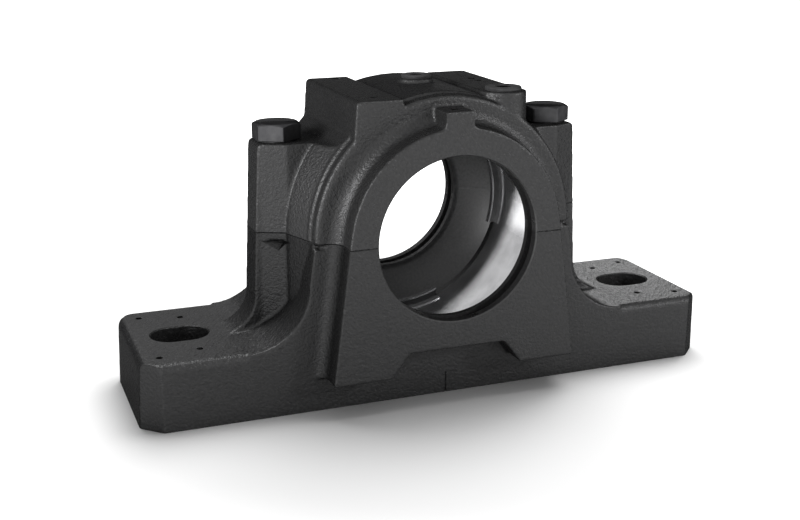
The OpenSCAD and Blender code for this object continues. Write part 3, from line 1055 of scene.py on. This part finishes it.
@dataclass
class Castings:
    """Cast base and cap of the housing, softened together and then parted and machined."""

    base: Box = field(default_factory=lambda: Box.of(Half.BASE.value))
    cap: Box = field(default_factory=lambda: Box.of(Half.CAP.value))
    voxel: float = 0.5
    soften_steps: int = 8
    soften_share: float = 0.5
    overlap: float = 0.15
    floor_stock: float = 2.0
    split_break: float = 0.3
    triangles: int = 150_000
    sharp_angle: float = 34.0
    headroom: float = 5.0
    foot_height: float = 28.0
    foot_half_width: float = 35.0
    slot_length: float = 24.0
    slot_width: float = 18.0
    slot_stock: float = 2.0
    slot_break: float = 0.5
    bolt_hole_end: float = 43.5
    base_hole: float = 6.05
    cap_hole: float = 6.5
    bolt_stock: float = 7.5
    pin_hole: float = 2.05
    pin_stock: float = 3.0
    plug_stock: float = 1.6
    plug_stock_reach: float = 4.0
    crown_hole: float = 4.05
    pad_hole: float = 5.05
    pad_hole_reach: float = 2.0
    grease_drill: float = 2.5
    drill_rise: float = 33.6
    hole_sides: int = 64
    floor_sides: int = 8
    line_half_width: float = 0.35
    line_depth: float = 0.6
    line_height: float = 9.2
    line_stock: float = 0.6
    level_start: float = 66.0
    level_skin: float = 1.5
    level_top: float = 38.0
    pocket_ledge: float = 3.4
    pocket_outer: float = 12.0
    pocket_width: float = 12.5
    pocket_height: float = 7.0
    pocket_run: float = 5.5
    pocket_depth: float = 5.0
    pocket_point: float = 0.4
    pillar_half_depth: float = 13.0
    foot_mark_places: Sequence[Point] = ((117.8, 25.0), (100.8, 20.5))
    pad_mark_places: Sequence[Point] = ((-28, -26), (-26, 30), (29.5, 2), (29.5, 9))
    tab_mark_depth: float = 41.5
    tab_rise: float = 51.6

    def __post_init__(self) -> None:
        """Works out the places that both halves share."""
        self.split = self.base.high.z
        self.half_depth = self.base.high.y
        self.hollow = BearingHollow(self.split, self.half_depth)
        bolts = [Box.of("cap_bolt_left"), Box.of("cap_bolt_right")]
        self.bolts = [box.plan for box in bolts]
        self.pillar_top = bolts[0].high.z - CapBolt.head_height
        pins = [Box.of("locating_pin_left"), Box.of("locating_pin_right")]
        self.pins = [box.plan for box in pins]
        self.pin_span = (pins[0].low.z, pins[0].high.z)
        self.crown = Box.of("crown_plug")
        self.pad = Box.of("pad_plug")
        pattern = next(m for m in frame["record"]["mounts"] if m["name"] == "foot_bolts")
        self.slot_x = pattern["dims"]["spacing_x_mm"] / 2

    def solids(self) -> list[Mesh]:
        """Copies of both nodes, merged, lapped over the split and drawn down below the floor.

        Returns:
            The base and the cap.
        """
        result = []
        for half in Half:
            edit = Shop.opened([frame["nodes"][half.value].data])
            bmesh.ops.remove_doubles(edit, verts=edit.verts[:], dist=TOUCH * MM)
            for vertex in edit.verts:
                height = vertex.co.z / MM
                if half is Half.CAP and abs(height - self.split) < TOUCH:
                    vertex.co.z -= self.overlap * MM
                if height < TOUCH:
                    vertex.co.z -= self.floor_stock * MM
            result.append(Shop.saved(edit, half.value))
        return result

    def column(self, place: Point, radius: float, span: Point) -> Mesh:
        """Upright cylinder at a place in plan."""
        profile = [(height, radius) for height in span]
        return Shapes.turned("column", profile, Axis.UPRIGHT, place, self.hole_sides)

    def slot(self, steps: Sequence[Point], side: int) -> Mesh:
        """Upright slot at one end of the foot.

        Args:
            steps: Heights with the margin all round that the slot has there.
            side: End of the foot, -1 or 1.

        Returns:
            Closed mesh.
        """
        rings = []
        for height, grow in steps:
            outline = Shapes.stadium(self.slot_length + 2 * grow, self.slot_width + 2 * grow)
            place = (side * self.slot_x, 0.0)
            rings.append(Shapes.placed(outline, height, Axis.UPRIGHT, place))
        return Shapes.loft("slot", rings)

    def line(self, grow: float, depth: Point, side: int) -> Mesh:
        """Centre line on one side of the foot.

        Args:
            grow: Margin all round.
            depth: Distances from the middle between which it runs.
            side: Side of the foot, -1 or 1.

        Returns:
            Closed mesh.
        """
        half = self.line_half_width + grow
        low, high = -self.floor_stock - grow, self.line_height + grow
        outline = np.array([(-half, low), (half, low), (half, high), (-half, high)])
        span = (side * depth[0], side * depth[1])
        return Shapes.drawn("centre_line", outline, span, Axis.SHAFT)

    def filler(self) -> list[Mesh]:
        """Stock at each place that is machined after the skin is softened.

        Returns:
            Closed meshes.
        """
        stock = [self.hollow.filler()]
        bolt_span = (self.bolt_hole_end - PAST, self.pillar_top)
        stock += [self.column(place, self.bolt_stock, bolt_span) for place in self.bolts]
        pin_span = (self.pin_span[0] - PAST, self.pin_span[1] + PAST)
        stock += [self.column(place, self.pin_stock, pin_span) for place in self.pins]
        for box, radius in ((self.crown, self.crown_hole), (self.pad, self.pad_hole)):
            span = (box.low.z - self.plug_stock_reach, box.high.z - ScrewPlug.collar_height)
            stock.append(self.column(box.plan, radius + self.plug_stock, span))
        slot = ((-self.floor_stock, self.slot_stock), (self.foot_height, self.slot_stock))
        depth = (self.foot_half_width - self.line_depth - PAST, self.foot_half_width)
        for side in (-1, 1):
            stock += [self.slot(slot, side), self.line(self.line_stock, depth, side)]
        return stock

    def rough(self) -> Mesh:
        """Both halves as one softened casting with all its stock.

        Returns:
            Closed mesh.
        """
        pattern = Shop.joined([*self.solids(), *self.filler()])
        settings = {"mode": "VOXEL", "voxel_size": self.voxel * MM}
        skin = Shop.evaluated(pattern, "REMESH", settings)
        Shop.soften(skin, self.soften_steps, self.soften_share)
        log.info("rough casting: %d faces", len(skin.polygons))
        return Shop.thinned(skin, 2 * self.triangles)

    def parted(self, rough: Mesh, half: Half) -> Mesh:
        """One half of the rough casting, closed at the split, with its outer edge broken.

        Args:
            rough: Both halves as one casting.
            half: Half that is kept.

        Returns:
            Closed mesh.
        """
        up = 1 if half is Half.BASE else -1
        edit = Shop.opened([rough])
        for height, clear in ((self.split, True), (self.split - up * self.split_break, False)):
            bmesh.ops.bisect_plane(
                edit,
                geom=edit.verts[:] + edit.edges[:] + edit.faces[:],
                dist=ON_PLANE,
                plane_co=(0, 0, height * MM),
                plane_no=(0, 0, up),
                clear_outer=clear,
            )
        rim = [edge for edge in edit.edges if edge.is_boundary]
        inward = {}
        for vertex in {vertex for edge in rim for vertex in edge.verts}:
            normal = sum((face.normal for face in vertex.link_faces), Vector())
            normal.z = 0
            inward[vertex] = normal.normalized() * self.split_break * MM
        for vertex, step in inward.items():
            vertex.co -= step
            vertex.co.z = self.split * MM
        bmesh.ops.holes_fill(edit, edges=rim)
        bmesh.ops.triangulate(edit, faces=[face for face in edit.faces if len(face.verts) > 4])
        return Shop.saved(edit, half.value)

    def pockets(self) -> Mesh:
        """Tool of the four lever pockets, which slope out to nothing below.

        Returns:
            Closed meshes in one.
        """
        top = self.split - self.pocket_ledge
        outer = self.bolts[1][0] + self.pocket_outer
        inner, tip = outer - self.pocket_width, outer - self.pocket_run
        floor, far = self.pillar_half_depth, self.half_depth
        near = floor - self.pocket_depth
        rings = []
        for left, right, front, height in (
            (tip - self.pocket_point, tip + self.pocket_point, floor, top - self.pocket_height),
            (inner, outer, near, top),
        ):
            corners = [(left, front), (right, front), (right, far), (left, far)]
            rings.append(np.array([(x, y, height) for x, y in corners]))
        pair = Shop.with_mirror(Shapes.loft("pocket", rings), 0)
        return Shop.with_mirror(pair, 1)

    def foot_marks(self) -> list[Place]:
        """Places of the dimples on the foot.

        Returns:
            Places in millimetres.
        """
        signs = [(end, face) for end in (-1, 1) for face in (-1, 1)]
        places = self.foot_mark_places
        return [(end * x, face * y, self.foot_height) for x, y in places for end, face in signs]

    def cap_marks(self) -> list[Place]:
        """Places of the dimples on the pads and the tabs.

        Returns:
            Places in millimetres.
        """
        pad_top = self.pad.high.z - ScrewPlug.collar_height
        tabs = [(0, side * self.tab_mark_depth, self.split + self.tab_rise) for side in (-1, 1)]
        return [*((x, y, pad_top) for x, y in self.pad_mark_places), *tabs]

    def base_tools(self) -> list[Mesh]:
        """Tools that machine the base.

        Returns:
            Closed meshes in their order of use.
        """
        far = self.cap.high.z + self.headroom
        skin = self.foot_half_width
        slot = (
            (-PAST, 0.0),
            (self.foot_height - self.slot_break, 0.0),
            (self.foot_height + PAST, self.slot_break + PAST),
        )
        holes = [self.column(at, self.base_hole, (self.bolt_hole_end, far)) for at in self.bolts]
        holes += [self.column(at, self.pin_hole, (self.pin_span[0], far)) for at in self.pins]
        holes += [self.slot(slot, side) for side in (-1, 1)]
        depth = (skin - self.line_depth, skin + PAST)
        holes += [self.line(0.0, depth, side) for side in (-1, 1)]
        holes.append(DrillingMarks().tool(self.foot_marks()))
        below = Shapes.circle(far * 2, self.floor_sides)
        return [
            Shapes.drawn("below", below, (-far, 0.0), Axis.UPRIGHT),
            self.hollow.tool(),
            self.hollow.passages(),
            self.pockets(),
            Shop.joined(holes),
        ]

    def cap_tools(self) -> list[Mesh]:
        """Tools that machine the cap.

        Returns:
            Closed meshes in their order of use.
        """
        far = self.cap.high.z + self.headroom
        low = self.split - PAST
        holes = [self.column(at, self.cap_hole, (low, far)) for at in self.bolts]
        holes += [self.column(at, self.pin_hole, (low, self.pin_span[1])) for at in self.pins]
        holes.append(self.column(self.crown.plan, self.crown_hole, (self.split, far)))
        drill = (self.split + self.drill_rise, far)
        holes.append(self.column(self.pad.plan, self.grease_drill, drill))
        wide_span = (self.pad.low.z - self.pad_hole_reach, far)
        wide = self.column(self.pad.plan, self.pad_hole, wide_span)
        marks = DrillingMarks().tool(self.cap_marks())
        return [self.hollow.tool(), Shop.joined(holes), Shop.joined([wide, marks])]

    def is_level(self, centres: np.ndarray) -> np.ndarray:
        """Tells which faces belong to the ends of the foot's top.

        Args:
            centres: Middles of the faces in millimetres, as rows of three numbers.

        Returns:
            One truth value for each face.
        """
        across, _, height = np.abs(centres).T
        on_top = (height > self.foot_height - self.level_skin) & (height < self.level_top)
        return on_top & (across > self.level_start)

    def machined(self, rough: Mesh, half: Half) -> Mesh:
        """One finished half, with a finish on each of its faces.

        Args:
            rough: Both halves as one casting.
            half: Half that is kept.

        Returns:
            Finished mesh.
        """
        on_base = half is Half.BASE
        mesh = self.parted(rough, half)
        for tool in self.base_tools() if on_base else self.cap_tools():
            mesh = Shop.cut(mesh, tool)
        centres = np.empty(len(mesh.polygons) * 3)
        mesh.polygons.foreach_get("center", centres)
        centres = centres.reshape(-1, 3) / MM
        marks = self.foot_marks() if on_base else self.cap_marks()
        finishes = (
            (SKIN, slice(None)),
            # Lighter paint inside the hollow, painted light as well as a smoother bore.
            (BORED_AND_LIGHTENED, self.hollow.is_bored(centres)),
            (SEAT, self.hollow.is_seat(centres)),
            (LEVEL, self.is_level(centres)),
            # Near-black painted shade in the dimples.
            (RECESS_SHADE, DrillingMarks().in_painted_shade(centres, marks)),
        )
        slots = np.empty(len(centres), dtype=np.int32)
        for number, (_, faces) in enumerate(finishes):
            slots[faces] = number
        Pieces.dress(mesh, *(finish for finish, _ in finishes))
        mesh.polygons.foreach_set("material_index", slots)
        Pieces.shade(mesh, self.sharp_angle)
        return mesh

    def build(self) -> None:
        """Makes the two castings."""
        rough = self.rough()
        for half, name in ((Half.BASE, "base_casting"), (Half.CAP, "cap_casting")):
            Pieces.placed(self.machined(rough, half), name, half.value, "painted_iron")


@dataclass
class Thread:
    """Ridge of a screw thread, wound round an upright core."""

    major: float
    pitch: float
    length: float
    depth: float = 0.9
    steps: int = 40
    sides: int = 4

    def tree(self) -> NodeTool:
        """Geometry Nodes tree that winds a ridge along a helix.

        Returns:
            The finished tree.
        """
        sockets = {name: "Float" for name in ("Radius", "Ridge", "Turns", "Height")}
        tree = NodeTool("thread", {**sockets, "Place": "Vector"})
        given = tree.given
        inputs = {
            "Resolution": self.steps,
            "Rotations": given["Turns"],
            "Start Radius": given["Radius"],
            "End Radius": given["Radius"],
            "Height": given["Height"],
        }
        helix = tree.add("GeometryNodeCurveSpiral", inputs).outputs[0]
        inputs = {"Geometry": helix, "Translation": given["Place"]}
        moved = tree.add("GeometryNodeTransform", inputs).outputs[0]
        inputs = {"Resolution": self.sides, "Radius": given["Ridge"]}
        ridge = tree.add("GeometryNodeCurvePrimitiveCircle", inputs).outputs[0]
        inputs = {"Curve": moved, "Profile Curve": ridge, "Fill Caps": True}
        return tree.ended(tree.add("GeometryNodeCurveToMesh", inputs).outputs[0])

    def wound(self, place: Place, finish: Finish) -> Mesh:
        """Winds the ridge.

        Args:
            place: Lower end of the thread's axis, in millimetres.
            finish: Finish of the thread.

        Returns:
            Mesh of the ridge.
        """
        values = {
            "Radius": (self.major - self.depth) * MM,
            "Ridge": self.depth * MM,
            "Turns": self.length / self.pitch,
            "Height": self.length * MM,
            "Place": Vector(place) * MM,
            "Material": finish.material(),
        }
        return self.tree().run(bpy.data.meshes.new("thread"), values)


@dataclass
class CapBolt:
    """Hexagon bolt that draws the cap down."""

    node: str
    name: str
    turn: float
    across_flats: float = 18.0
    corner_cut: float = 0.12
    corner_turn: float = 30.0
    head_height: float = 7.5
    face_height: float = 0.5
    face_radius: float = 8.5
    chamfer_slope: float = math.tan(math.radians(30))
    top_radius: float = 8.6
    edge_break: float = 0.25
    rim_share: float = 0.2
    shank: float = 6.0
    core: float = 5.1
    thread_length: float = 34.0
    run_out: float = 1.0
    pitch: float = 1.75
    point: float = 1.5
    head_steps: int = 144
    shank_steps: int = 64
    sharp_angle: float = 25.0

    def head(self, seat: float, centre: Point) -> Mesh:
        """Head, from under its washer face to the rim of its top.

        Args:
            seat: Height of its underside.
            centre: Place of its axis in plan.

        Returns:
            Closed mesh.
        """
        turn = self.turn + self.corner_turn
        outline = Shapes.hexagon(self.across_flats, self.corner_cut, turn, self.head_steps)
        reach = np.hypot(outline[:, 0], outline[:, 1])
        slope, small = self.chamfer_slope, self.edge_break
        low, top = seat + self.face_height, seat + self.head_height
        chamfer = top - (reach - self.top_radius) * slope
        steps = (
            (self.face_radius, seat),
            (self.face_radius, low),
            (reach - small, low),
            (reach, low + small),
            (reach, chamfer - small),
            (reach - small, chamfer + small * slope),
            (self.top_radius, top - small * self.rim_share),
            (self.top_radius - small, top),
        )
        rings = [Shapes.ring(outline, radius, height, centre) for radius, height in steps]
        return Shapes.loft(self.name, rings)

    def build(self) -> None:
        """Makes the bolt."""
        box = Box.of(self.node)
        low, seat = box.low.z, box.high.z - self.head_height
        profile = [
            (low, self.core - self.point),
            (low + self.point, self.core),
            (low + self.thread_length, self.core),
            (low + self.thread_length + self.run_out, self.shank),
            (seat + PAST, self.shank),
        ]
        shank = Shapes.turned("shank", profile, Axis.UPRIGHT, box.plan, self.shank_steps)
        thread = Thread(self.shank, self.pitch, self.thread_length - self.pitch * 2)
        ridge = thread.wound((*box.plan, low + self.pitch), BOLT)
        mesh = Shop.joined([self.head(seat, box.plan), shank, ridge])
        Pieces.dress(mesh, BOLT)
        Pieces.shade(mesh, self.sharp_angle)
        Pieces.placed(mesh, self.name, self.node, "bolt_steel")


@dataclass
class ScrewPlug:
    """Screw plug with a collar and a hexagon socket."""

    node: str
    name: str
    collar: float
    core: float
    major: float
    pitch: float
    collar_height: float = 1.5
    edge_break: float = 0.35
    under_break: Point = (0.1, 0.2)
    lead_in: Point = (0.5, 0.8)
    thread_depth: float = 0.55
    socket_share: float = 0.4
    socket_turn: float = 12.0
    socket_depth: float = 3.5
    socket_break: Point = (0.2, 0.3)
    corner_cut: float = 0.05
    steps: int = 96
    sharp_angle: float = 28.0

    def build(self) -> None:
        """Makes the plug."""
        box = Box.of(self.node)
        low, top = box.low.z, box.high.z
        seat = top - self.collar_height
        socket = Shapes.hexagon(
            self.collar * self.socket_share, self.corner_cut, self.socket_turn, self.steps
        )
        reach = np.hypot(socket[:, 0], socket[:, 1])
        mouth = reach.max() + self.socket_break[0]
        rim = self.collar / 2
        steps = (
            (self.core - self.lead_in[0], low),
            (self.core, low + self.lead_in[1]),
            (self.core, seat),
            (rim - self.under_break[0], seat),
            (rim, seat + self.under_break[1]),
            (rim, top - self.edge_break),
            (rim - self.edge_break, top),
            (mouth, top),
            (reach, top - self.socket_break[1]),
            (reach, top - self.socket_depth),
        )
        rings = [Shapes.ring(socket, radius, height, box.plan) for radius, height in steps]
        thread = Thread(self.major, self.pitch, seat - low - self.pitch * 2, self.thread_depth)
        ridge = thread.wound((*box.plan, low + self.pitch), PLUG)
        mesh = Shop.joined([Shapes.loft(self.name, rings), ridge])
        # The socket's faces get near-black painted shade.
        Pieces.dress(mesh, PLUG, RECESS_SHADE)
        self.paint_socket_shade(mesh, Vector((*box.plan, top)), mouth)
        Pieces.shade(mesh, self.sharp_angle)
        Pieces.placed(mesh, self.name, self.node, "plug_steel")

    def paint_socket_shade(self, mesh: Mesh, top: Vector, mouth: float) -> None:
        """Gives the faces inside the socket the second material, a near-black painted shade.

        Args:
            mesh: Mesh of the plug.
            top: Middle of the plug's top, in millimetres.
            mouth: Radius of the socket's mouth.
        """
        deep, shallow = -self.socket_depth - NEAR, -self.socket_break[1] - NEAR
        for face in mesh.polygons:
            place = face.center / MM - top
            in_socket = place.xy.length < mouth and deep < place.z < shallow
            face.material_index = int(in_socket)


@dataclass
class LocatingPins:
    """Ground pins across the split, which keep their own solids."""

    nodes: tuple[str, str] = ("locating_pin_left", "locating_pin_right")

    def build(self) -> None:
        """Dresses both pins."""
        for node in self.nodes:
            Pieces.dress(frame["nodes"][node].data, PIN)
            log.info("%s: solid kept, ground steel", node)


@dataclass(frozen=True)
class Lamp:
    """Soft rectangular lamp, with its place and size in metres and its power in watts."""

    name: str
    place: Place
    size: Point
    power: float
    receivers: str

    def hang(self, aim: Place) -> None:
        """Hangs the lamp so that it faces a place and lights its receivers only.

        Args:
            aim: Place that it faces, in metres.
        """
        data = bpy.data.lights.new(self.name, "AREA")
        data.shape = "RECTANGLE"
        data.size, data.size_y = self.size
        data.energy = self.power
        lamp = bpy.data.objects.new(self.name, data)
        lamp.location = self.place
        lamp.visible_camera = False
        lamp.light_linking.receiver_collection = Pieces.lit(self.receivers)
        ahead = Vector(aim) - Vector(self.place)
        lamp.rotation_euler = ahead.to_track_quat("-Z", "Y").to_euler()
        bpy.context.scene.collection.objects.link(lamp)


@dataclass
class Studio:
    """Camera, pale floor and soft lamps."""

    target: Place = (-7.23, 0.0, 49.28)
    distance: float = 529.84
    azimuth: float = 20.816
    elevation: float = 16.540
    roll: float = -0.059
    lens: float = 54.575
    sensor: float = 36.0
    clip: Point = (0.01, 100.0)
    floor_size: float = 30.0
    floor_gap: float = 0.05
    floor_colour: Colour = (0.86, 0.86, 0.86)
    sky_light: float = 0.35
    glow_span: Point = (0.13, 0.27)
    aim: Place = (0.0, 0.0, 0.05)
    lamps: Sequence[Lamp] = (
        Lamp("floor_key", (0.28, 0.42, 1.0), (1.15, 1.15), 21.0, "floor"),
        Lamp("left", (-1.2, -0.25, 0.5), (0.5, 0.5), 20.0, "head"),
        Lamp("low_left", (-0.8, -1.0, 0.15), (0.3, 0.3), 2.5, "housing"),
        Lamp("right", (1.8, -1.58, 1.0), (0.4, 0.4), 32.0, "housing"),
        Lamp("over_foot", (-0.3, 0.35, 1.1), (0.5, 0.5), 14.0, "foot"),
        Lamp("behind_right", (0.53, 0.68, 0.25), (0.25, 0.12), 3.5, "foot"),
    )

    def camera(self) -> None:
        """Places the camera where the photograph was taken from."""
        turn, rise = math.radians(self.azimuth), math.radians(self.elevation)
        level = math.cos(rise)
        ahead = Vector((math.sin(turn) * level, math.cos(turn) * level, -math.sin(rise)))
        data = bpy.data.cameras.new("camera")
        data.lens = self.lens
        data.sensor_width = self.sensor
        data.clip_start, data.clip_end = self.clip
        camera = bpy.data.objects.new("camera", data)
        place = (Vector(self.target) - ahead * self.distance) * MM
        facing = ahead.to_track_quat("-Z", "Y").to_matrix().to_4x4()
        tilt = Matrix.Rotation(math.radians(self.roll), 4, "Z")
        camera.matrix_world = Matrix.Translation(place) @ facing @ tilt
        bpy.context.scene.collection.objects.link(camera)
        bpy.context.scene.camera = camera

    def seen(self, graph: Graph) -> Socket:
        """One for camera, glossy and transmission rays, and zero for the others.

        Args:
            graph: Graph that it is made in.

        Returns:
            The number.
        """
        path = graph.add("ShaderNodeLightPath").outputs
        first = graph.combined("MAXIMUM", path["Is Camera Ray"], path["Is Glossy Ray"])
        return graph.combined("MAXIMUM", first, path["Is Transmission Ray"])

    def world(self) -> None:
        """Lights the scene evenly and shows a white background."""
        world = bpy.data.worlds.new("studio")
        world.use_nodes = True
        bpy.context.scene.world = world
        world.node_tree.nodes.clear()
        graph = Graph(world.node_tree)
        light, shown = (
            graph.add("ShaderNodeBackground", {"Color": WHITE, "Strength": strength}).outputs[0]
            for strength in (self.sky_light, 1.0)
        )
        mixed = graph.add("ShaderNodeMixShader", {0: self.seen(graph), 1: light, 2: shown})
        graph.add("ShaderNodeOutputWorld", {"Surface": mixed.outputs[0]})

    def floor(self) -> None:
        """Lays a plain pale floor, which goes over into the white background."""
        half = self.floor_size / 2
        mesh = bpy.data.meshes.new("floor")
        corners = [(-half, -half), (half, -half), (half, half), (-half, half)]
        mesh.from_pydata([(x, y, -self.floor_gap * MM) for x, y in corners], [], [(0, 1, 2, 3)])
        mesh.materials.append(self.floor_material())
        floor = bpy.data.objects.new("floor", mesh)
        bpy.context.scene.collection.objects.link(floor)
        Pieces.lit("floor").objects.link(floor)

    def floor_material(self) -> bpy.types.Material:
        """Matt pale material that glows white away from the housing, but lights nothing.

        Returns:
            The material.
        """
        material = bpy.data.materials.new("floor")
        material.use_nodes = True
        material.node_tree.nodes.clear()
        graph = Graph(material.node_tree)
        matt = graph.add("ShaderNodeBsdfDiffuse", {"Color": (*self.floor_colour, 1)}).outputs[0]
        place = graph.add("ShaderNodeTexCoord").outputs["Object"]
        away = graph.add("ShaderNodeVectorMath", {0: place}, operation="LENGTH").outputs["Value"]
        fade = graph.span(away, 0.0, 1.0, self.glow_span, interpolation_type="SMOOTHSTEP")
        strength = graph.combined("MULTIPLY", self.seen(graph), fade)
        glow = graph.add("ShaderNodeEmission", {"Color": WHITE, "Strength": strength}).outputs[0]
        both = graph.add("ShaderNodeAddShader", {0: matt, 1: glow}).outputs[0]
        graph.add("ShaderNodeOutputMaterial", {"Surface": both})
        return material

    def build(self) -> None:
        """Sets up the whole studio."""
        bpy.context.scene.view_settings.view_transform = "Standard"
        self.camera()
        self.world()
        self.floor()
        for lamp in self.lamps:
            lamp.hang(self.aim)


def main() -> None:
    """Builds every sub-assembly in order."""
    logging.basicConfig(level=logging.INFO, format="%(message)s")
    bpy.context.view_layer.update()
    Studio().build()
    Castings().build()
    for side, turn in (("left", 1.0), ("right", 4.0)):
        CapBolt(f"cap_bolt_{side}", f"{side}_cap_bolt", turn).build()
    for place, collar, core, major, pitch in (
        ("crown", 12.5, 3.4, 4.0, 1.25),
        ("pad", 15.0, 4.4, 5.0, 1.5),
    ):
        ScrewPlug(f"{place}_plug", f"{place}_screw_plug", collar, core, major, pitch).build()
    LocatingPins().build()


if __name__ == "__main__":
    main()
